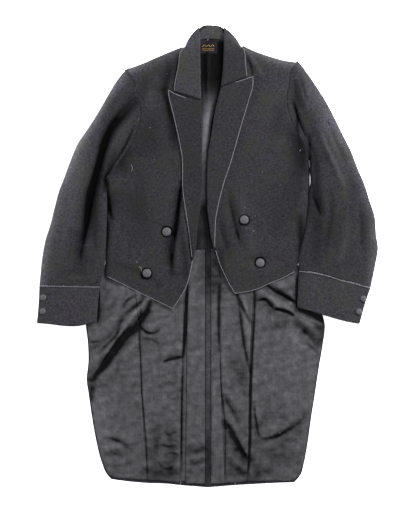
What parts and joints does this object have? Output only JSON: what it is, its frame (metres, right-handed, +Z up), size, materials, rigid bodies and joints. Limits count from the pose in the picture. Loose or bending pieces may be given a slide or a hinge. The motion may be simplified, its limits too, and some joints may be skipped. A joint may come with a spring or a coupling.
{
  "type": "uniform tailcoat",
  "caption": "Dark wool uniform tailcoat laid flat on its back: cutaway fronts with peaked lapels lie open over satin-lined tails, sleeves with turned-back cuffs beside them.",
  "frame": {"origin": "on the table, under the middle of the coat's box as it lies", "axes": "+X to the viewer's right, which is the wearer's left; +Y from the tails to the collar; +Z up from the table"},
  "size_m": [0.7916, 1.0768, 0.0271],
  "materials": {
    "wool_shell": "fine dark wool twill, matt with a short nap",
    "satin_lining": "grey satin lining of the tails, soft sheen",
    "body_lining": "dark grey satin lining of the body, soft sheen",
    "button_cloth": "grey woven cord over a domed button",
    "label_satin": "black woven satin label with a plain border"
  },
  "bodies": {
    "root": {"back_r": "wool_shell", "back_l": "wool_shell", "side_body_r": "wool_shell", "side_body_l": "wool_shell", "skirt_r": "wool_shell", "skirt_l": "wool_shell", "forepart_r": "wool_shell", "forepart_l": "wool_shell", "lapel_r": "wool_shell", "lapel_l": "wool_shell", "collar_r": "wool_shell", "collar_l": "wool_shell", "topsleeve_r": "wool_shell", "topsleeve_l": "wool_shell", "undersleeve_r": "wool_shell", "undersleeve_l": "wool_shell", "cuff_r": "wool_shell", "cuff_l": "wool_shell", "collar_stand": "wool_shell", "vent_facing": "wool_shell", "back_lining": "body_lining", "tail_lining_outer_r": "satin_lining", "tail_lining_outer_l": "satin_lining", "tail_lining_inner_r": "satin_lining", "tail_lining_inner_l": "satin_lining", "tail_facing_r": "satin_lining", "tail_facing_l": "satin_lining", "pleat_under_r": "satin_lining", "neck_label": "label_satin", "front_button_r1": "button_cloth", "front_button_r2": "button_cloth", "front_button_l1": "button_cloth", "front_button_l2": "button_cloth", "cuff_button_r1": "button_cloth", "cuff_button_r2": "button_cloth", "cuff_button_l1": "button_cloth", "cuff_button_l2": "button_cloth"}
  },
  "joints": []
}
